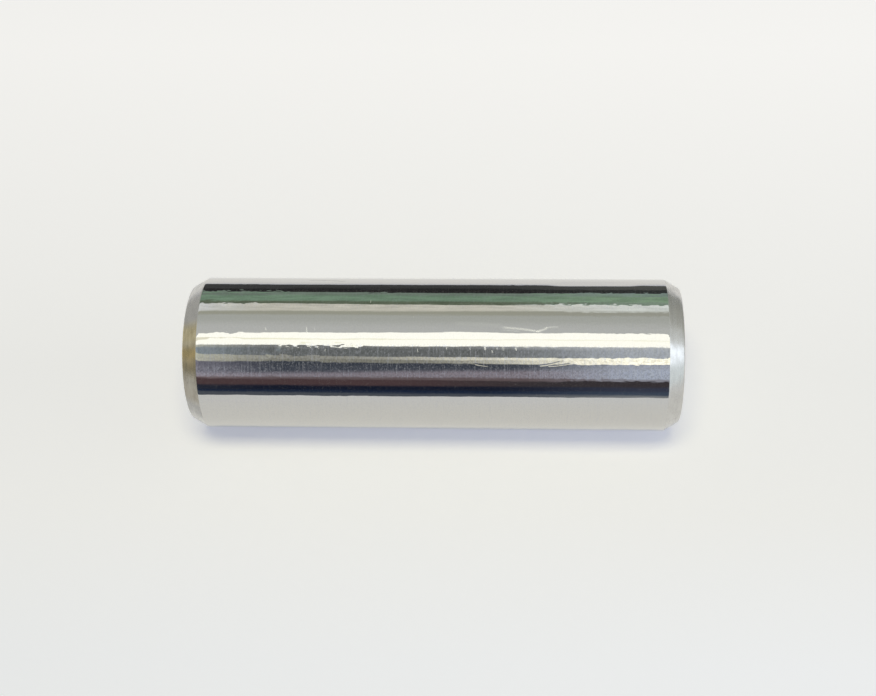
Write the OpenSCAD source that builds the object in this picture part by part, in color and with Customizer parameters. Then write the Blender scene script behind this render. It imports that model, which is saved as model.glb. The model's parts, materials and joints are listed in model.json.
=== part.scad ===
// Parallel dowel pin: a centreless-ground steel cylinder with a turned chamfer at each end.
// Millimetres. The pin stands on one end face at Z = 0, with its axis along +Z.

/* [Barrel] */
// Diameter of the ground barrel
pin_d = 10; // [6:0.5:20]
// Overall length, from end face to end face
pin_length = 32; // [16:1:80]

/* [Turned ends] */
// Length of each chamfer along the axis
chamfer_length = 1; // [0.5:0.1:2]
// Slope of each chamfer from the axis, in degrees
chamfer_angle = 30; // [15:1:45]

/* [Tumbled edges] */
// Radius between the barrel and each chamfer
shoulder_r = 0.1; // [0.05:0.05:0.3]
// Radius between each chamfer and its end face
rim_r = 0.15; // [0.05:0.05:0.3]

/* [Hidden] */
$fn = 128;

steel = [0.76, 0.77, 0.78];
pin_r = pin_d / 2;
// Radius at which the chamfer would meet the end face in a sharp edge
sharp_face_r = pin_r - chamfer_length * tan(chamfer_angle);
// Distance from each sharp edge to where its radius begins
shoulder_cut = shoulder_r * tan(chamfer_angle / 2);
rim_cut = rim_r * tan((90 - chamfer_angle) / 2);

// Half of the pin's section, from its end face on the X axis up to mid-length. Each sharp edge is cut
// back to the two points where its radius begins, and a circle through them rounds it.
module half_section() {
    polygon([
        [0, 0],
        [sharp_face_r - rim_cut, 0],
        [sharp_face_r + rim_cut * sin(chamfer_angle), rim_cut * cos(chamfer_angle)],
        [pin_r - shoulder_cut * sin(chamfer_angle), chamfer_length - shoulder_cut * cos(chamfer_angle)],
        [pin_r, chamfer_length + shoulder_cut],
        [pin_r, pin_length / 2],
        [0, pin_length / 2],
    ]);
    translate([sharp_face_r - rim_cut, rim_r]) circle(r = rim_r);
    translate([pin_r - shoulder_r, chamfer_length + shoulder_cut]) circle(r = shoulder_r);
}

module dowel_pin() {
    color(steel) rotate_extrude() {
        half_section();
        translate([0, pin_length]) mirror([0, 1]) half_section();
    }
}

dowel_pin();
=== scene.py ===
import json
import math

import bmesh
import bpy
from mathutils import Matrix, Vector, noise


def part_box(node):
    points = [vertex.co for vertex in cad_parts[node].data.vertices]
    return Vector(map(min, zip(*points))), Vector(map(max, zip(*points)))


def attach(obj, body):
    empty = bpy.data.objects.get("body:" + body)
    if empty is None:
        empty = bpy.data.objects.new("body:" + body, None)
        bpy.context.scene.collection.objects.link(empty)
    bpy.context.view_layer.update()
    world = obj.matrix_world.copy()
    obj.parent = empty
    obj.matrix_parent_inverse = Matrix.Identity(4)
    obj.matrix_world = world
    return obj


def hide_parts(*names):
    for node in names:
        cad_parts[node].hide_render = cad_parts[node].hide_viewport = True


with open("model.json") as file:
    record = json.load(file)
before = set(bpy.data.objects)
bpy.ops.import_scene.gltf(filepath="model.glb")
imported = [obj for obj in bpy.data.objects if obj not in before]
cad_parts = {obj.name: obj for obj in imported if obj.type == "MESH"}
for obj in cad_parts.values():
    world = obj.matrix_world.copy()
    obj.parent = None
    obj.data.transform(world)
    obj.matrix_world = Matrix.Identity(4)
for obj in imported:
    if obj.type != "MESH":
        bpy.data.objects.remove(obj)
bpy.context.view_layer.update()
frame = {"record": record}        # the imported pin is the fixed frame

mm = 0.001
nodeLow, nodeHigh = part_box("dowel_pin")
barrelMount = next(m for m in frame["record"]["mounts"] if m["name"] == "barrel")
pinRadius = barrelMount["dims"]["r_mm"] * mm
pinLength = nodeHigh.z - nodeLow.z
midLength = (nodeLow.z + nodeHigh.z) / 2
print("frame loaded: pin radius", pinRadius, "length", pinLength)


# ---- small helpers for node trees

def feed(tree, socket, value):
    if isinstance(value, bpy.types.NodeSocket):
        tree.links.new(value, socket)
    else:
        socket.default_value = value


def addMath(tree, operation, *values):
    node = tree.nodes.new("ShaderNodeMath")
    node.operation = operation
    for socket, value in zip(node.inputs, values):
        feed(tree, socket, value)
    return node.outputs[0]


def addSum(tree, values):
    total = values[0]
    for value in values[1:]:
        total = addMath(tree, "ADD", total, value)
    return total


def addRange(tree, value, low, high, start=0.0, end=1.0, shape="SMOOTHSTEP"):
    node = tree.nodes.new("ShaderNodeMapRange")
    node.interpolation_type = shape
    feed(tree, node.inputs["Value"], value)
    feed(tree, node.inputs["From Min"], low)
    feed(tree, node.inputs["From Max"], high)
    feed(tree, node.inputs["To Min"], start)
    feed(tree, node.inputs["To Max"], end)
    return node.outputs["Result"]


def addWindow(tree, value, low, high, edge):
    # 1 between low and high, fading to 0 over edge on each side
    rise = addRange(tree, value, low - edge, low + edge)
    fall = addRange(tree, value, high - edge, high + edge, 1.0, 0.0)
    return addMath(tree, "MULTIPLY", rise, fall)


def addMix(tree, factor, first, second):
    node = tree.nodes.new("ShaderNodeMix")
    node.data_type = "RGBA"
    feed(tree, node.inputs["Factor"], factor)
    feed(tree, node.inputs["A"], first)
    feed(tree, node.inputs["B"], second)
    return node.outputs["Result"]


def addNoise(tree, vector, size, detail=2.0, roughness=0.5, distortion=0.0):
    # size is the feature's size along X, Y and Z, in the vector's own units
    mapping = tree.nodes.new("ShaderNodeMapping")
    mapping.inputs["Scale"].default_value = [1 / s for s in size]
    feed(tree, mapping.inputs["Vector"], vector)
    node = tree.nodes.new("ShaderNodeTexNoise")
    node.inputs["Scale"].default_value = 1.0
    node.inputs["Detail"].default_value = detail
    node.inputs["Roughness"].default_value = roughness
    node.inputs["Distortion"].default_value = distortion
    feed(tree, node.inputs["Vector"], mapping.outputs["Vector"])
    return node.outputs["Fac"]


def rgba(colour, gain=1.0):
    return [c * gain for c in colour] + [1.0]


# ---- camera

cameraView = {
    "distance": 19.23,     # from the pin's axis, in pin radii
    "rise": 1.0421,        # past mid-length, in pin radii
    "aimAcross": -0.0771,  # where it aims, in pin radii
    "aimAlong": 0.0384,
    "rollDeg": 0.375,
    "lens": 59.52,
    "sensor": 36.0,
}


def makeCamera(spec):
    camera = bpy.data.objects.new("camera", bpy.data.cameras.new("camera"))
    bpy.context.scene.collection.objects.link(camera)
    place = Vector((0, -spec["distance"] * pinRadius, midLength + spec["rise"] * pinRadius))
    aim = Vector((spec["aimAcross"] * pinRadius, 0, midLength + spec["aimAlong"] * pinRadius))
    back = (place - aim).normalized()
    right = Vector((-1, 0, 0)).cross(back).normalized()  # -X is up, so the pin lies across the picture
    up = back.cross(right)
    turn = Matrix((right, up, back)).transposed() @ Matrix.Rotation(math.radians(spec["rollDeg"]), 3, "Z")
    camera.matrix_world = Matrix.Translation(place) @ turn.to_4x4()
    camera.data.lens = spec["lens"]
    camera.data.sensor_width = spec["sensor"]
    camera.data.clip_start = mm
    camera.data.clip_end = 2.0
    bpy.context.scene.camera = camera


makeCamera(cameraView)
bpy.context.scene.view_settings.view_transform = "Standard"
print("camera in place")


# ---- the pin

pin = {
    "chamferLength": 1.0 * mm,
    "chamferAngle": math.radians(30),
    "shoulderRadius": 0.10 * mm,
    "rimRadius": 0.15 * mm,
    "stepsRound": 384,
    "ringsAlong": 200,
    "ringsOnChamfer": 6,
    "ringsOnEdge": 4,
    "barrelSlope": 0.2,            # largest slope of a normal towards Z on the barrel
    "chamferSlope": 0.9,           # and on the chamfers
    "sameSpot": 0.001 * mm,
    "waveHeight": 0.006 * mm,      # long swells left by the grinding wheel
    "waveSize": (3 * mm, 9 * mm),  # round the barrel and along it
}


def isRing(edge, radius, z):
    near = pin["sameSpot"]
    return all(
        abs(v.co.z - z) < near and abs(math.hypot(v.co.x, v.co.y) - radius) < near for v in edge.verts
    )


def makePin(spec):
    low, high = nodeLow.z, nodeHigh.z
    faceRadius = pinRadius - spec["chamferLength"] * math.tan(spec["chamferAngle"])
    profile = [
        (0, low),
        (faceRadius, low),
        (pinRadius, low + spec["chamferLength"]),
        (pinRadius, high - spec["chamferLength"]),
        (faceRadius, high),
        (0, high),
    ]
    bm = bmesh.new()
    points = [bm.verts.new((x, 0, z)) for x, z in profile]
    section = [bm.edges.new(pair) for pair in zip(points, points[1:])]
    bmesh.ops.spin(
        bm, geom=points + section, cent=(0, 0, 0), axis=(0, 0, 1), angle=math.tau,
        steps=spec["stepsRound"], use_merge=True,
    )
    bmesh.ops.remove_doubles(bm, verts=bm.verts, dist=spec["sameSpot"] / 10)
    bmesh.ops.recalc_face_normals(bm, faces=bm.faces)

    # tumbled edges: the cut is the distance from the sharp edge to where its radius begins
    shoulderCut = spec["shoulderRadius"] * math.tan(spec["chamferAngle"] / 2)
    rimCut = spec["rimRadius"] * math.tan((math.pi / 2 - spec["chamferAngle"]) / 2)
    for radius, inset, cut in ((pinRadius, spec["chamferLength"], shoulderCut), (faceRadius, 0, rimCut)):
        rings = [e for e in bm.edges if isRing(e, radius, low + inset) or isRing(e, radius, high - inset)]
        bmesh.ops.bevel(
            bm, geom=rings, offset=cut, offset_type="OFFSET", segments=spec["ringsOnEdge"], profile=0.5,
            affect="EDGES", material=-1,
        )

    longEdges = [e for e in bm.edges if e.calc_length() > pinLength / 2]
    bmesh.ops.subdivide_edges(bm, edges=longEdges, cuts=spec["ringsAlong"] - 1, use_grid_fill=True)
    slopes = [
        e for e in bm.edges
        if abs(e.verts[0].co.z - e.verts[1].co.z) > spec["chamferLength"] / 2
    ]
    bmesh.ops.subdivide_edges(bm, edges=slopes, cuts=spec["ringsOnChamfer"] - 1, use_grid_fill=True)

    barrelLow = low + spec["chamferLength"] + shoulderCut
    barrelHigh = high - spec["chamferLength"] - shoulderCut
    waveRound, waveAlong = spec["waveSize"]
    for v in bm.verts:
        if barrelLow < v.co.z < barrelHigh:
            place = Vector((v.co.x / waveRound, v.co.y / waveRound, v.co.z / waveAlong))
            fade = min(v.co.z - barrelLow, barrelHigh - v.co.z) / mm
            swell = noise.noise(place) * spec["waveHeight"] * min(fade, 1)
            v.co.xy *= 1 + swell / pinRadius

    for f in bm.faces:
        f.smooth = True
        slope = abs(f.normal.z)
        f.material_index = 0 if slope < spec["barrelSlope"] else 1 if slope < spec["chamferSlope"] else 2
    mesh = bpy.data.meshes.new("dowelPin")
    bm.to_mesh(mesh)
    bm.free()
    piece = bpy.data.objects.new("dowelPin", mesh)
    bpy.context.scene.collection.objects.link(piece)
    weighted = piece.modifiers.new("evenNormals", "WEIGHTED_NORMAL")
    weighted.weight = 100
    return piece


# ---- steel, shared by the three finishes

cleanSteel = (0.61, 0.60, 0.58)


def newMaterial(name):
    # returns the material with its tree, its shader and the place on the pin in millimetres
    material = bpy.data.materials.new(name)
    material.use_nodes = True
    tree = material.node_tree
    shader = tree.nodes["Principled BSDF"]
    shader.inputs["Metallic"].default_value = 1.0
    coords = tree.nodes.new("ShaderNodeTexCoord")
    mapping = tree.nodes.new("ShaderNodeMapping")
    mapping.inputs["Scale"].default_value = [1 / mm] * 3
    tree.links.new(coords.outputs["Object"], mapping.inputs["Vector"])
    return material, tree, shader, mapping.outputs["Vector"]


def splitPlace(tree, place):
    # arc round the pin from the camera's side towards -X, distance along it and radius, in millimetres
    split = tree.nodes.new("ShaderNodeSeparateXYZ")
    tree.links.new(place, split.inputs[0])
    x, y, along = split.outputs
    turned = addMath(tree, "ARCTAN2", addMath(tree, "MULTIPLY", x, -1), addMath(tree, "MULTIPLY", y, -1))
    arc = addMath(tree, "MULTIPLY", turned, pinRadius / mm)
    squares = addMath(tree, "ADD", addMath(tree, "MULTIPLY", x, x), addMath(tree, "MULTIPLY", y, y))
    return arc, along, addMath(tree, "SQRT", squares)


def addBump(tree, shader, height):
    # height is in millimetres
    bump = tree.nodes.new("ShaderNodeBump")
    bump.inputs["Strength"].default_value = 1.0
    bump.inputs["Distance"].default_value = mm
    feed(tree, bump.inputs["Height"], height)
    tree.links.new(bump.outputs["Normal"], shader.inputs["Normal"])


# ---- ground barrel

groundFinish = {
    "roughness": 0.025,
    "haze": 0.004,                     # dull share of the clean barrel
    # sizes of the marks in millimetres, as X, Y, Z, and their heights in millimetres
    "streak": {"size": (0.4, 0.4, 5.0), "height": 0.003},
    "crumb": {"size": (0.30, 0.30, 0.55), "height": 0.011, "everywhere": 0.12},
    "hairline": {"size": (1.1, 1.1, 0.07), "cover": (0.50, 0.74), "haze": 0.26},
    "grain": {"size": (0.13, 0.13, 0.10), "cover": (0.50, 0.72), "haze": 0.28},
    # partly painted reflection: the dust on the hairlines and grain is tinted blue like the room they would
    # mirror
    "dustAndReflectionColour": (0.60, 0.62, 0.70),  # of the hairlines and the grain
    "smudge": {"size": (0.13, 0.13, 0.11), "cover": (0.35, 0.65), "light": 1.15, "dark": 0.85},
    "smear": {
        "size": (0.20, 0.20, 1.6), "cover": (0.30, 0.70), "arc": (3.0, 4.75), "edge": 0.2, "share": 0.8,
    },
    # where the fine marks are strongest round the pin, and their share at mid-length, at the ends and
    # elsewhere
    "dullBands": [
        {"arc": (-1.55, -0.95), "share": 0.72, "ends": 1.15},
        {"arc": (-0.95, 0.55), "share": 0.82, "ends": 0.55},
        {"arc": (3.1, 4.7), "share": 0.15, "ends": 0.15},
    ],
    "dullEdge": 0.1,
    "dullElsewhere": 0.10,
    "midLength": {"along": (5.5, 22.0), "edge": 3.0},
    "speck": {"size": (0.18, 0.18, 0.18), "cover": (0.86, 0.92), "share": 0.4},
    # painted highlight: burrs and specks turn near-white, rougher and partly dull, so that they read as
    # bright glints
    "glint": {"colour": (0.95, 0.95, 0.92), "roughness": 0.30, "haze": 0.40},
}

# Worn patches: the first and last millimetre along the pin and round it, and how worn they are
patchEdge = {"along": 0.4, "arc": 0.12}
wornPatches = [
    {"along": (6.4, 11.6), "arc": (0.10, 0.62), "wear": 1.1},
    {"along": (5.5, 9.0), "arc": (-0.60, 0.05), "wear": 0.5},
    {"along": (24.0, 31.5), "arc": (-0.70, -0.12), "wear": 0.75},
    {"along": (24.5, 31.5), "arc": (-1.75, -1.45), "wear": 0.6},
    {"along": (24.5, 31.5), "arc": (1.30, 2.80), "wear": 0.35},
    {"along": (23.0, 31.5), "arc": (3.25, 3.75), "wear": 0.85},
    {"along": (0.9, 5.5), "arc": (3.20, 4.30), "wear": 0.5},
    {"along": (0.9, 6.8), "arc": (4.45, 5.00), "wear": 1.7},
    {"along": (11.4, 13.2), "arc": (4.20, 4.90), "wear": 0.9},
    {"along": (22.0, 31.5), "arc": (4.40, 5.00), "wear": 1.0},
    {"along": (1.9, 3.8), "arc": (0.85, 1.50), "wear": 0.7},
]

# Scratches: the two ends as millimetres along the pin and round it, how far the middle bows out, the
# half width, the depth, and how much painted glint their burr has. Each fades out over a share of its
# length.
scratchFade = 0.1
scratches = [
    {"start": (20.3, 1.73), "end": (22.95, 1.44), "bow": 0.04, "width": 0.12, "depth": 0.0012, "burrGlint": 0.75},
    {"start": (22.6, 1.42), "end": (23.4, 1.74), "bow": -0.02, "width": 0.12, "depth": 0.0012, "burrGlint": 0.75},
    {"start": (23.1, 1.68), "end": (24.1, 1.77), "bow": 0.03, "width": 0.09, "depth": 0.0012, "burrGlint": 0.5},
    {"start": (20.4, 1.58), "end": (21.7, 1.45), "bow": 0.0, "width": 0.06, "depth": 0.0008, "burrGlint": 0.3},
    {"start": (17.2, 2.02), "end": (20.8, 1.84), "bow": 0.0, "width": 0.22, "depth": 0, "burrGlint": 0.12},
    {"start": (8.05, 1.74), "end": (8.12, 1.25), "bow": 0.0, "width": 0.05, "depth": 0, "burrGlint": 0.9},
    {"start": (8.55, 1.64), "end": (8.62, 1.44), "bow": 0.0, "width": 0.05, "depth": 0, "burrGlint": 0.5},
    {"start": (5.42, 1.66), "end": (5.50, 1.44), "bow": 0.0, "width": 0.07, "depth": 0, "burrGlint": 0.7},
    {"start": (12.05, 3.82), "end": (12.06, 3.48), "bow": 0.0, "width": 0.04, "depth": 0, "burrGlint": 0.8},
    {"start": (15.15, 0.34), "end": (15.17, 0.06), "bow": 0.0, "width": 0.05, "depth": 0, "burrGlint": 0.8},
    {"start": (6.75, 0.44), "end": (7.05, 0.36), "bow": 0.0, "width": 0.05, "depth": 0, "burrGlint": 0.7},
    {"start": (7.40, 0.42), "end": (7.65, 0.30), "bow": 0.0, "width": 0.05, "depth": 0, "burrGlint": 0.5},
    {"start": (8.10, 0.44), "end": (8.45, 0.36), "bow": 0.0, "width": 0.05, "depth": 0, "burrGlint": 0.8},
    {"start": (8.75, 0.36), "end": (8.95, 0.24), "bow": 0.0, "width": 0.05, "depth": 0, "burrGlint": 0.6},
    {"start": (9.32, 0.30), "end": (9.28, 0.10), "bow": 0.0, "width": 0.06, "depth": 0, "burrGlint": 0.8},
    {"start": (9.75, 0.44), "end": (10.15, 0.34), "bow": 0.0, "width": 0.06, "depth": 0, "burrGlint": 0.8},
    {"start": (10.45, 0.36), "end": (10.75, 0.26), "bow": 0.0, "width": 0.05, "depth": 0, "burrGlint": 0.6},
    {"start": (11.10, 0.42), "end": (11.40, 0.34), "bow": 0.0, "width": 0.05, "depth": 0, "burrGlint": 0.7},
    {"start": (16.98, 0.44), "end": (16.99, 0.26), "bow": 0.0, "width": 0.07, "depth": 0, "burrGlint": 0.7},
    {"start": (18.46, 0.42), "end": (18.48, 0.24), "bow": 0.0, "width": 0.07, "depth": 0, "burrGlint": 0.6},
    {"start": (19.40, 0.50), "end": (19.44, 0.24), "bow": 0.0, "width": 0.09, "depth": 0, "burrGlint": 1.0},
    {"start": (19.85, 0.28), "end": (19.88, 0.04), "bow": 0.0, "width": 0.08, "depth": 0, "burrGlint": 0.8},
    {"start": (20.16, 0.44), "end": (20.19, 0.24), "bow": 0.0, "width": 0.08, "depth": 0, "burrGlint": 0.5},
    {"start": (20.54, 0.42), "end": (20.58, 0.20), "bow": 0.0, "width": 0.11, "depth": 0, "burrGlint": 0.5},
    {"start": (21.32, 0.44), "end": (21.40, 0.22), "bow": 0.0, "width": 0.08, "depth": 0, "burrGlint": 1.0},
    {"start": (10.0, 0.46), "end": (11.8, 0.56), "bow": 0.03, "width": 0.16, "depth": 0.005, "burrGlint": 0.0},
    {"start": (18.7, -0.62), "end": (20.5, -0.84), "bow": -0.03, "width": 0.08, "depth": 0.002, "burrGlint": 0.0},
    {"start": (22.7, -0.72), "end": (24.4, -0.36), "bow": -0.06, "width": 0.08, "depth": 0.003, "burrGlint": 0.1},
    {"start": (23.2, -0.74), "end": (24.9, -0.52), "bow": -0.05, "width": 0.06, "depth": 0.002, "burrGlint": 0.0},
    {"start": (7.2, 6.32), "end": (10.6, 6.02), "bow": 0.10, "width": 0.07, "depth": 0.009, "burrGlint": 0.0},
    {"start": (23.2, 5.80), "end": (29.6, 5.90), "bow": 0.0, "width": 0.50, "depth": 0.015, "burrGlint": 0.0},
]


def addPatches(tree, arc, along):
    masks = []
    for patch in wornPatches:
        lengthwise = addWindow(tree, along, *patch["along"], patchEdge["along"])
        roundwise = addWindow(tree, arc, *patch["arc"], patchEdge["arc"])
        mask = addMath(tree, "MULTIPLY", lengthwise, roundwise)
        masks.append(addMath(tree, "MULTIPLY", mask, patch["wear"]))
    return addSum(tree, masks)


def addScratch(tree, arc, along, mark):
    # 1 on the scratch's line, fading to 0 at its half width
    (startAlong, startArc), (endAlong, endArc) = mark["start"], mark["end"]
    runAlong, runArc = endAlong - startAlong, endArc - startArc
    run = math.hypot(runAlong, runArc)
    fromAlong = addMath(tree, "SUBTRACT", along, startAlong)
    fromArc = addMath(tree, "SUBTRACT", arc, startArc)
    share = addMath(
        tree, "ADD",
        addMath(tree, "MULTIPLY", fromAlong, runAlong / run ** 2),
        addMath(tree, "MULTIPLY", fromArc, runArc / run ** 2),
    )
    aside = addMath(
        tree, "SUBTRACT",
        addMath(tree, "MULTIPLY", fromArc, runAlong / run),
        addMath(tree, "MULTIPLY", fromAlong, runArc / run),
    )
    if mark["bow"]:
        rest = addMath(tree, "SUBTRACT", 1, share)
        bowed = addMath(tree, "MULTIPLY", addMath(tree, "MULTIPLY", share, rest), 4 * mark["bow"])
        aside = addMath(tree, "SUBTRACT", aside, bowed)
    across = addRange(tree, addMath(tree, "ABSOLUTE", aside), 0, mark["width"], 1, 0)
    lengthwise = addWindow(tree, share, scratchFade, 1 - scratchFade, scratchFade)
    return addMath(tree, "MULTIPLY", across, lengthwise)


def addMark(tree, place, mark, detail):
    return addNoise(tree, place, mark["size"], detail)


def addCover(tree, place, mark, detail):
    return addRange(tree, addMark(tree, place, mark, detail), *mark["cover"])


def makeGroundSteel(spec):
    material, tree, shader, place = newMaterial("groundBarrel")
    arc, along, _ = splitPlace(tree, place)

    heights, burrGlints = [], []
    for mark in scratches:
        line = addScratch(tree, arc, along, mark)
        if mark["depth"]:
            heights.append(addMath(tree, "MULTIPLY", line, -mark["depth"]))
        if mark["burrGlint"]:
            burrGlints.append(addMath(tree, "MULTIPLY", line, mark["burrGlint"]))
    worn = addMath(tree, "ADD", addPatches(tree, arc, along), spec["crumb"]["everywhere"])
    crumb = addMath(tree, "MULTIPLY", addMark(tree, place, spec["crumb"], 1), spec["crumb"]["height"])
    heights.append(addMath(tree, "MULTIPLY", crumb, worn))
    streak = addMath(tree, "MULTIPLY", addMark(tree, place, spec["streak"], 2), spec["streak"]["height"])
    heights.append(streak)
    addBump(tree, shader, addSum(tree, heights))

    # painted highlight on burrs and specks: a near-white colour, more roughness and a dull share
    glint = spec["glint"]
    burrGlints.append(addMath(tree, "MULTIPLY", addCover(tree, place, spec["speck"], 0), spec["speck"]["share"]))
    flawGlint = addMath(tree, "MINIMUM", addSum(tree, burrGlints), 1)
    middle = addWindow(tree, along, *spec["midLength"]["along"], spec["midLength"]["edge"])
    dull = spec["dullElsewhere"]
    for band in spec["dullBands"]:
        share = addRange(tree, middle, 0, 1, band["ends"], band["share"], "LINEAR")
        share = addMath(tree, "MULTIPLY", share, addWindow(tree, arc, *band["arc"], spec["dullEdge"]))
        dull = addMath(tree, "ADD", share, dull)
    smudge, smear = spec["smudge"], spec["smear"]
    spotted = addMath(tree, "SUBTRACT", addCover(tree, place, smudge, 3), 0.5)
    streaked = addMath(tree, "SUBTRACT", addCover(tree, place, smear, 2), 0.5)
    where = addMath(tree, "MULTIPLY", addWindow(tree, arc, *smear["arc"], smear["edge"]), smear["share"])
    darker = addSum(tree, [
        addMath(tree, "MULTIPLY", spotted, dull), addMath(tree, "MULTIPLY", streaked, where), 0.5,
    ])
    steel = addMix(tree, darker, rgba(cleanSteel, smudge["light"]), rgba(cleanSteel, smudge["dark"]))
    marks = [
        addMath(tree, "MULTIPLY", addCover(tree, place, spec[name], 2), spec[name]["haze"])
        for name in ("hairline", "grain")
    ]
    fine = addMath(tree, "MULTIPLY", addSum(tree, marks), dull)
    # dust on the fine marks, tinted blue as a painted reflection
    dustAndReflection = addRange(tree, fine, 0, spec["grain"]["haze"], shape="LINEAR")
    steel = addMix(tree, dustAndReflection, steel, rgba(spec["dustAndReflectionColour"]))
    feed(tree, shader.inputs["Base Color"], addMix(tree, flawGlint, steel, rgba(glint["colour"])))
    rough = addRange(tree, flawGlint, 0, 1, spec["roughness"], glint["roughness"], "LINEAR")
    feed(tree, shader.inputs["Roughness"], rough)
    haze = addMath(tree, "ADD", fine, spec["haze"])
    haze = addRange(tree, flawGlint, 0, 1, haze, glint["haze"], "LINEAR")
    feed(tree, shader.inputs["Metallic"], addMath(tree, "SUBTRACT", 1, haze))
    return material


# ---- turned chamfers

noiseSpread = (0.35, 0.65)  # where most of a noise's values lie
turnedFinish = {
    "roughness": (0.15, 0.32),
    "dull": 0.92,  # share of its brightness that the steel keeps in a blotch
    "ring": {"size": (6.0, 6.0, 0.06), "height": 0.0012},       # lathe rings, in millimetres
    "blotch": {"size": (0.7, 0.7, 0.35), "cover": (0.38, 0.60)},
    "streaks": {"size": (1.6, 1.6, 0.10), "cover": (0.40, 0.66)},
    # temper films on the low end, though the gray and brown ones only darken its side towards the sheet:
    # their colours where thin and thick, and where they lie round the pin
    "films": {
        "gray": {"thin": (0.48, 0.475, 0.465), "thick": (0.40, 0.395, 0.385), "arc": (-5.2, -3.6)},
        "brown": {"thin": (0.45, 0.425, 0.37), "thick": (0.36, 0.33, 0.28), "arc": (-3.7, -1.4)},
        "bronze": {"thin": (0.42, 0.36, 0.24), "thick": (0.29, 0.26, 0.18), "arc": (-1.6, -0.5)},
        "gold": {"thin": (0.63, 0.50, 0.26), "thick": (0.41, 0.34, 0.18), "arc": (-0.7, 0.5)},
        "straw": {"thin": (0.78, 0.69, 0.46), "thick": (0.56, 0.49, 0.31), "arc": (0.5, 1.9)},
    },
    "filmEdge": 0.5,
    "lowEnd": {"from": 1.2, "to": 1.4},
}


def addFilm(tree, film, edge, arc, lowEnd, thickness, under):
    where = addMath(tree, "MULTIPLY", addWindow(tree, arc, *film["arc"], edge), lowEnd)
    colour = addMix(tree, thickness, rgba(film["thin"]), rgba(film["thick"]))
    return addMix(tree, where, under, colour)


def makeTurnedSteel(spec):
    material, tree, shader, place = newMaterial("turnedChamfer")
    arc, along, _ = splitPlace(tree, place)
    ring = addMark(tree, place, spec["ring"], 2)
    blotch = addMark(tree, place, spec["blotch"], 3)
    blotched = addRange(tree, blotch, *spec["blotch"]["cover"])
    streaked = addCover(tree, place, spec["streaks"], 3)
    thickness = addMath(tree, "MULTIPLY", addMath(tree, "ADD", streaked, blotched), 0.5)
    lowEnd = addRange(tree, along, spec["lowEnd"]["from"], spec["lowEnd"]["to"], 1, 0)

    dulled = addRange(tree, blotch, *noiseSpread)
    colour = addMix(tree, dulled, rgba(cleanSteel), rgba(cleanSteel, spec["dull"]))
    for film in spec["films"].values():
        colour = addFilm(tree, film, spec["filmEdge"], arc, lowEnd, thickness, colour)
    feed(tree, shader.inputs["Base Color"], colour)

    low, high = spec["roughness"]
    worn = addMath(tree, "ADD", addMath(tree, "MULTIPLY", ring, 0.5), addMath(tree, "MULTIPLY", blotch, 0.5))
    feed(tree, shader.inputs["Roughness"], addRange(tree, worn, *noiseSpread, low, high))
    addBump(tree, shader, addMath(tree, "MULTIPLY", ring, spec["ring"]["height"]))
    return material


# ---- faced ends

facedFinish = {
    "roughness": (0.20, 0.36),
    "ringWidth": 0.09,   # from one tool mark to the next, in millimetres
    "ringHeight": 0.0010,
    "ringDrift": 0.02,   # how fast a ring changes round the face
    "blotch": {"size": (1.2, 1.2, 1.2), "cover": (0.5, 0.7)},
    "dull": 0.86,
}


def makeFacedSteel(spec):
    material, tree, shader, place = newMaterial("facedEnd")
    arc, _, radius = splitPlace(tree, place)
    rings = tree.nodes.new("ShaderNodeCombineXYZ")
    tree.links.new(radius, rings.inputs[0])
    feed(tree, rings.inputs[1], addMath(tree, "MULTIPLY", arc, spec["ringDrift"]))
    ring = addNoise(tree, rings.outputs[0], [spec["ringWidth"]] * 3, 2)
    blotch = addCover(tree, place, spec["blotch"], 3)
    dull = addMix(tree, blotch, rgba(cleanSteel), rgba(cleanSteel, spec["dull"]))
    feed(tree, shader.inputs["Base Color"], dull)
    low, high = spec["roughness"]
    feed(tree, shader.inputs["Roughness"], addRange(tree, ring, *noiseSpread, low, high))
    addBump(tree, shader, addMath(tree, "MULTIPLY", ring, spec["ringHeight"]))
    return material


dowelPin = makePin(pin)
for made in (makeGroundSteel(groundFinish), makeTurnedSteel(turnedFinish), makeFacedSteel(facedFinish)):
    dowelPin.data.materials.append(made)
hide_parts("dowel_pin")
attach(dowelPin, "root")
print("pin made:", len(dowelPin.data.polygons), "faces")


# ---- white sheet that lies along the barrel

sheet = {
    "liftDeg": 51.0,     # the camera's height above it, round the pin
    "gap": 0.01 * mm,    # clear of the barrel's swells
    "infront": 5.4,      # its near edge from the line where the barrel lies on it, in pin radii
    "behind": 200.0,
    "halfWidth": 60.0,
    # painted light: the paper turns lighter behind the pin and bluer in front, and its glow lifts the pin's
    # shadow and grows towards the window, as the room's light would fall
    "tint": (0.88, 0.882, 0.862),
    "farTint": (0.95, 0.95, 0.945),
    "nearTint": (0.862, 0.884, 0.92),
    "glow": (0.245, 0.262, 0.325),
    "farGlow": (0.318, 0.328, 0.383),
    "fade": (0.5, 7.5),        # pin radii behind that line over which it turns to the far tint
    "nearFade": (-1.8, -4.0),  # and in front of it, to the near tint
    # share that its painted glow gains for each pin radius towards the window: all over, by the pin, where
    # it lights the pin's shadow, and in front
    "brighten": {"everywhere": 0.004, "byPin": 0.03, "infront": 0.010},
    "byPin": {"back": (-0.9, 0.9), "backEdge": 0.2, "along": (-3.2, 3.2), "alongEdge": 0.3},
}


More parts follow.
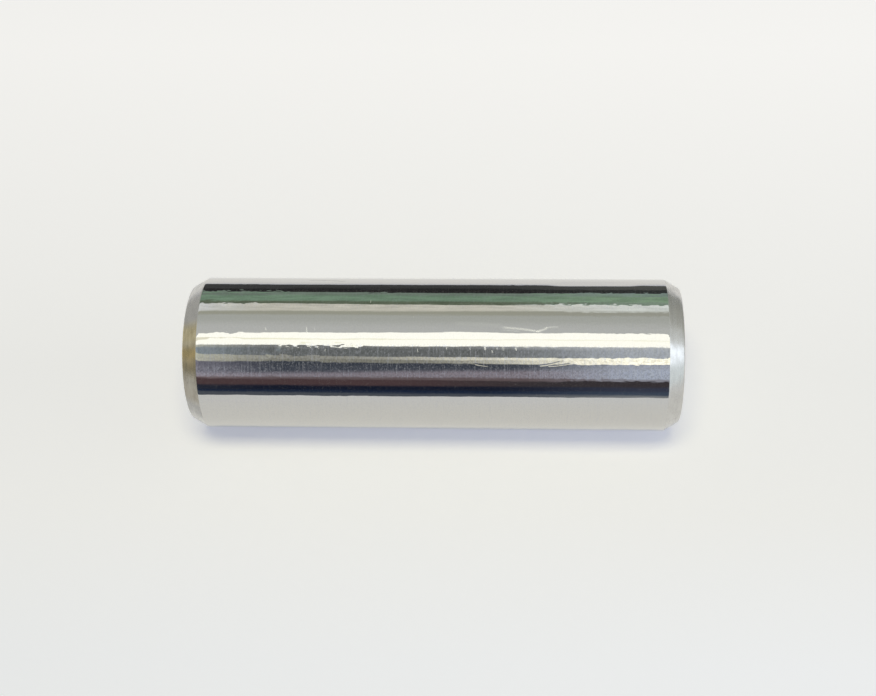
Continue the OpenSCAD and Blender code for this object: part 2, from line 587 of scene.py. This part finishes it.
def makeSheet(spec):
    lift = math.radians(spec["liftDeg"])
    facing = Vector((-math.cos(lift), -math.sin(lift), 0))
    forward = Vector((math.sin(lift), -math.cos(lift), 0))
    contact = -facing * (pinRadius + spec["gap"])
    bm = bmesh.new()
    edge = []
    for side in (-1, 1):
        alongPin = Vector((0, 0, midLength + side * spec["halfWidth"] * pinRadius))
        edge.append(bm.verts.new(contact + forward * spec["infront"] * pinRadius + alongPin))
    front = bm.edges.new(edge)
    grown = bmesh.ops.extrude_edge_only(bm, edges=[front])
    moved = [g for g in grown["geom"] if isinstance(g, bmesh.types.BMVert)]
    bmesh.ops.translate(bm, verts=moved, vec=-forward * (spec["infront"] + spec["behind"]) * pinRadius)
    bm.normal_update()
    if bm.faces[:][0].normal.dot(facing) < 0:
        bmesh.ops.reverse_faces(bm, faces=bm.faces[:])
    mesh = bpy.data.meshes.new("whiteSheet")
    bm.to_mesh(mesh)
    bm.free()
    piece = bpy.data.objects.new("whiteSheet", mesh)
    bpy.context.scene.collection.objects.link(piece)
    return piece


def makePaper(spec):
    material = bpy.data.materials.new("whitePaper")
    material.use_nodes = True
    tree = material.node_tree
    shader = tree.nodes["Principled BSDF"]
    lift = math.radians(spec["liftDeg"])
    coords = tree.nodes.new("ShaderNodeTexCoord")
    split = tree.nodes.new("ShaderNodeSeparateXYZ")
    tree.links.new(coords.outputs["Object"], split.inputs[0])
    x, y, along = split.outputs
    back = addSum(tree, [
        addMath(tree, "MULTIPLY", x, -math.sin(lift) / pinRadius),
        addMath(tree, "MULTIPLY", y, math.cos(lift) / pinRadius),
    ])
    # painted light: lighter far behind the pin and bluer in front
    far = addRange(tree, back, *spec["fade"], shape="LINEAR")
    near = addRange(tree, back, *spec["nearFade"], shape="LINEAR")
    tint = addMix(tree, near, rgba(spec["tint"]), rgba(spec["nearTint"]))
    feed(tree, shader.inputs["Base Color"], addMix(tree, far, tint, rgba(spec["farTint"])))
    # painted light: the paper glows, which lifts the pin's shadow
    feed(tree, shader.inputs["Emission Color"], addMix(tree, far, rgba(spec["glow"]), rgba(spec["farGlow"])))
    reach = addMath(tree, "DIVIDE", addMath(tree, "SUBTRACT", along, midLength), pinRadius)
    # painted light: the glow grows towards the window, most in the pin's shadow beside it
    byPin = spec["byPin"]
    beside = addWindow(tree, back, *byPin["back"], byPin["backEdge"])
    beside = addMath(tree, "MULTIPLY", beside, addWindow(tree, reach, *byPin["along"], byPin["alongEdge"]))
    brighten = addSum(tree, [
        addMath(tree, "MULTIPLY", beside, spec["brighten"]["byPin"]),
        addMath(tree, "MULTIPLY", near, spec["brighten"]["infront"]),
        spec["brighten"]["everywhere"],
    ])
    gain = addMath(tree, "ADD", addMath(tree, "MULTIPLY", reach, brighten), 1)
    feed(tree, shader.inputs["Emission Strength"], gain)
    shader.inputs["Roughness"].default_value = 1.0
    shader.inputs["Specular IOR Level"].default_value = 0.0
    behind = tree.nodes.new("ShaderNodeNewGeometry")
    clear = tree.nodes.new("ShaderNodeBsdfTransparent")
    mix = tree.nodes.new("ShaderNodeMixShader")
    output = tree.nodes["Material Output"]
    tree.links.new(behind.outputs["Backfacing"], mix.inputs["Fac"])
    tree.links.new(shader.outputs["BSDF"], mix.inputs[1])
    tree.links.new(clear.outputs["BSDF"], mix.inputs[2])
    tree.links.new(mix.outputs["Shader"], output.inputs["Surface"])
    return material


whiteSheet = makeSheet(sheet)
whiteSheet.data.materials.append(makePaper(sheet))
print("sheet laid")


# ---- studio: plain cards that the steel mirrors, and soft lamps

# Each card starts at an angle round the pin, from the camera's side towards -X, with an edge that is soft
# over some degrees, and that may lean and bend along the pin. It shows one colour at mid-length, and may
# turn to another by the window, which is past the high end, and to another by the low end.
cards = {
    "floorEdge": {"from": -180, "soft": 1, "colour": (0.092, 0.108, 0.135), "byWindow": (0.28, 0.30, 0.32)},
    "navyCard": {
        "from": -62.8, "soft": 2.5, "lean": -8, "colour": (0.014, 0.027, 0.063),
        "byWindow": (0.065, 0.09, 0.14),
    },
    "deepCard": {
        "from": -57, "soft": 2, "colour": (0.01, 0.015, 0.035), "byWindow": (0.05, 0.06, 0.10),
        "byLowEnd": (0.028, 0.034, 0.055),
    },
    "brownCard": {
        "from": -49.5, "soft": 2.5, "colour": (0.10, 0.062, 0.068), "byWindow": (0.055, 0.047, 0.055),
        "turn": (-0.10, 0.03),
    },
    "plumCard": {
        "from": -40.8, "soft": 1.5, "lean": -8, "colour": (0.17, 0.13, 0.14), "byWindow": (0.36, 0.37, 0.44),
        "byLowEnd": (0.26, 0.20, 0.22), "turn": (0.0, 0.10),
    },
    "grayCard": {
        "from": -35.9, "soft": 2, "bend": -10, "colour": (0.31, 0.28, 0.33), "byWindow": (0.54, 0.60, 0.72),
        "byLowEnd": (0.42, 0.39, 0.46), "turn": (0.0, 0.10),
    },
    "dimGap": {
        "from": -24.4, "soft": 4, "lean": 38, "bend": 40, "colour": (0.075, 0.088, 0.118),
        "byWindow": (0.56, 0.61, 0.71), "byLowEnd": (0.31, 0.305, 0.37), "turn": (-0.01, 0.10),
    },
    "gapTop": {
        "from": -19.5, "soft": 3, "colour": (0.06, 0.072, 0.098), "byWindow": (0.48, 0.52, 0.62),
        "byLowEnd": (0.25, 0.245, 0.31), "turn": (-0.01, 0.10),
    },
    "lampSill": {
        "from": -14.6, "soft": 0.8, "lean": -9, "colour": (0.29, 0.29, 0.25),
        "byWindow": (1.85, 1.80, 1.53), "byLowEnd": (0.76, 0.76, 0.65), "turn": (-0.08, 0.12),
    },
    "lowSeam": {
        "from": -9.5, "soft": 0.3, "colour": (0.33, 0.33, 0.29), "byWindow": (1.25, 1.18, 0.92),
        "byLowEnd": (0.68, 0.67, 0.56), "turn": (-0.12, 0.10),
    },
    "lowLamp": {
        "from": -8.8, "soft": 0.4, "colour": (0.38, 0.38, 0.34), "byWindow": (1.75, 1.72, 1.45),
        "byLowEnd": (0.74, 0.75, 0.63), "turn": (-0.14, 0.12),
    },
    "cameraCard": {
        "from": -4.9, "soft": 0.6, "lean": 5, "bend": 75, "colour": (0.18, 0.195, 0.20),
        "byWindow": (0.58, 0.63, 0.69), "byLowEnd": (0.35, 0.42, 0.47),
    },
    "underLamp": {
        "from": 8, "soft": 2.5, "colour": (0.27, 0.28, 0.28), "byWindow": (0.68, 0.72, 0.75),
        "byLowEnd": (0.66, 0.68, 0.60), "turn": (-0.06, 0.08),
    },
    "lampPanel": {"from": 11.3, "soft": 0.6, "colour": (1.66, 1.66, 1.52)},
    "lampSeam": {
        "from": 20.9, "soft": 0.5, "bend": -40, "colour": (1.42, 1.42, 1.15), "byWindow": (1.52, 1.52, 1.30),
        "byLowEnd": (1.16, 1.13, 0.92),
    },
    "farPanel": {"from": 22.1, "soft": 0.5, "colour": (1.66, 1.66, 1.54)},
    "ceiling": {"from": 31.9, "soft": 0.5, "lean": -8, "bend": -110, "colour": (0.68, 0.70, 0.69)},
    "farCeiling": {"from": 46, "soft": 9, "colour": (0.56, 0.585, 0.55)},
    "ceilingEdge": {"from": 60, "soft": 3, "colour": (0.47, 0.48, 0.40), "byWindow": (0.47, 0.48, 0.42)},
    "paleWall": {
        "from": 67.9, "soft": 2, "lean": 8, "colour": (0.79, 0.78, 0.69), "byWindow": (0.93, 0.99, 0.96),
        "byLowEnd": (0.88, 0.91, 0.91),
    },
    "wallTop": {
        "from": 79.5, "soft": 0.7, "bend": 40, "colour": (0.15, 0.19, 0.13), "byWindow": (0.93, 0.99, 0.96),
        "turn": (-0.01, 0.03),
    },
    "wallFoot": {"from": 81, "soft": 0.6, "colour": (0.15, 0.19, 0.13), "byWindow": (0.29, 0.39, 0.31)},
    "greenBoard": {"from": 86, "soft": 2, "colour": (0.225, 0.35, 0.25), "byWindow": (0.28, 0.42, 0.29)},
    "grayGreen": {"from": 99, "soft": 3, "colour": (0.22, 0.29, 0.24), "byWindow": (0.27, 0.355, 0.33)},
    "darkShelf": {
        "from": 105.2, "soft": 0.7, "bend": 65, "colour": (0.026, 0.026, 0.028),
        "byWindow": (0.04, 0.045, 0.045),
    },
    "shelfTop": {"from": 118, "soft": 5, "colour": (0.06, 0.062, 0.064), "byWindow": (0.11, 0.115, 0.11)},
}

# Past the high end there is a window with open sky beside it, and past the low end a plain wall
highEnd = {
    "ground": {"from": -180, "soft": 1, "colour": (0.80, 0.83, 0.80)},
    "sky": {"from": -75, "soft": 15, "colour": (0.93, 1.02, 1.06)},
    "window": {"from": -22, "soft": 8, "colour": (1.60, 1.73, 1.88)},
    "frame": {"from": 27, "soft": 4, "colour": (0.80, 0.83, 0.82)},
    "wall": {"from": 67, "soft": 11, "colour": (0.51, 0.52, 0.48)},
    "corner": {"from": 100, "soft": 20, "colour": (0.38, 0.39, 0.36)},
}
studio = {
    "turn": (-0.03, 0.10),             # climb along the pin over which the cards turn to the window
    "lowTurn": (-0.16, -0.24),
    "endTurn": (0.3, 0.9),             # past this only the ends of the room show
    "lowEnd": (0.50, 0.50, 0.48),
    "backdrop": (0.86, 0.86, 0.83),
    "fill": (0.25, 0.26, 0.29),
}
lampDistance = 80 * pinRadius
lamps = {
    # angle round the pin, slope towards +Z, and width round and length along, all in degrees
    "keyLamp": {
        "angle": 23.2, "slope": 0, "width": 16, "length": 28, "colour": (1.0, 0.92, 0.60), "power": 0.68,
    },
    "windowLamp": {
        "angle": 24, "slope": 60, "width": 25, "length": 30, "colour": (0.95, 1.0, 0.90), "power": 0.045,
    },
}


def addCards(tree, laidOut, angle, slope):
    shown = None
    low = addRange(tree, slope, *studio["lowTurn"])
    for card in laidOut.values():
        colour = rgba(card["colour"])
        if "byWindow" in card:
            high = addRange(tree, slope, *card.get("turn", studio["turn"]))
            colour = addMix(tree, high, colour, rgba(card["byWindow"]))
        if "byLowEnd" in card:
            colour = addMix(tree, low, colour, rgba(card["byLowEnd"]))
        if shown is None:
            shown = colour
            continue
        start = angle
        if "lean" in card:
            start = addMath(tree, "SUBTRACT", start, addMath(tree, "MULTIPLY", slope, card["lean"]))
        if "bend" in card:
            square = addMath(tree, "MULTIPLY", slope, slope)
            start = addMath(tree, "SUBTRACT", start, addMath(tree, "MULTIPLY", square, card["bend"]))
        begun = addRange(tree, start, card["from"] - card["soft"], card["from"] + card["soft"])
        shown = addMix(tree, begun, shown, colour)
    return shown


def makeRoom(spec):
    world = bpy.data.worlds.new("studio")
    world.use_nodes = True
    world.cycles.sampling_method = "NONE"
    bpy.context.scene.world = world
    tree = world.node_tree
    coords = tree.nodes.new("ShaderNodeTexCoord")
    split = tree.nodes.new("ShaderNodeSeparateXYZ")
    tree.links.new(coords.outputs["Generated"], split.inputs[0])
    x, y, z = split.outputs
    turned = addMath(tree, "ARCTAN2", addMath(tree, "MULTIPLY", x, -1), addMath(tree, "MULTIPLY", y, -1))
    angle = addMath(tree, "DEGREES", turned)
    across = addMath(tree, "SQRT", addSum(tree, [addMath(tree, "MULTIPLY", s, s) for s in (x, y)]))
    slope = addMath(tree, "DIVIDE", z, addMath(tree, "MAXIMUM", across, 0.001))

    mirrored = addCards(tree, cards, angle, slope)
    windowSide = addCards(tree, highEnd, angle, slope)
    mirrored = addMix(tree, addRange(tree, slope, *spec["endTurn"]), mirrored, windowSide)
    down = addMath(tree, "MULTIPLY", slope, -1)
    mirrored = addMix(tree, addRange(tree, down, *spec["endTurn"]), mirrored, rgba(spec["lowEnd"]))

    kind = tree.nodes.new("ShaderNodeLightPath")
    sharp = addMath(tree, "MAXIMUM", kind.outputs["Is Glossy Ray"], kind.outputs["Is Transmission Ray"])
    seen = addMix(tree, sharp, rgba(spec["fill"]), mirrored)
    seen = addMix(tree, kind.outputs["Is Camera Ray"], seen, rgba(spec["backdrop"]))
    tree.links.new(seen, tree.nodes["Background"].inputs["Color"])


def makeLamp(name, spec):
    lamp = bpy.data.lights.new(name, "AREA")
    lamp.shape = "RECTANGLE"
    lamp.size = 2 * lampDistance * math.tan(math.radians(spec["width"]) / 2)
    lamp.size_y = 2 * lampDistance * math.tan(math.radians(spec["length"]) / 2)
    lamp.color = spec["colour"]
    lamp.energy = spec["power"]
    piece = bpy.data.objects.new(name, lamp)
    bpy.context.scene.collection.objects.link(piece)
    turn = math.radians(spec["angle"])
    slope = math.radians(spec["slope"])
    level = Vector((-math.sin(turn), -math.cos(turn), 0))
    back = level * math.cos(slope) + Vector((0, 0, math.sin(slope)))
    side = Vector((0, 0, 1)).cross(level)
    place = Vector((0, 0, midLength)) + back * lampDistance
    facing = Matrix((side, back.cross(side), back)).transposed()
    piece.matrix_world = Matrix.Translation(place) @ facing.to_4x4()
    piece.visible_glossy = False


makeRoom(studio)
for lampName in lamps:
    makeLamp(lampName, lamps[lampName])
print("studio lit")
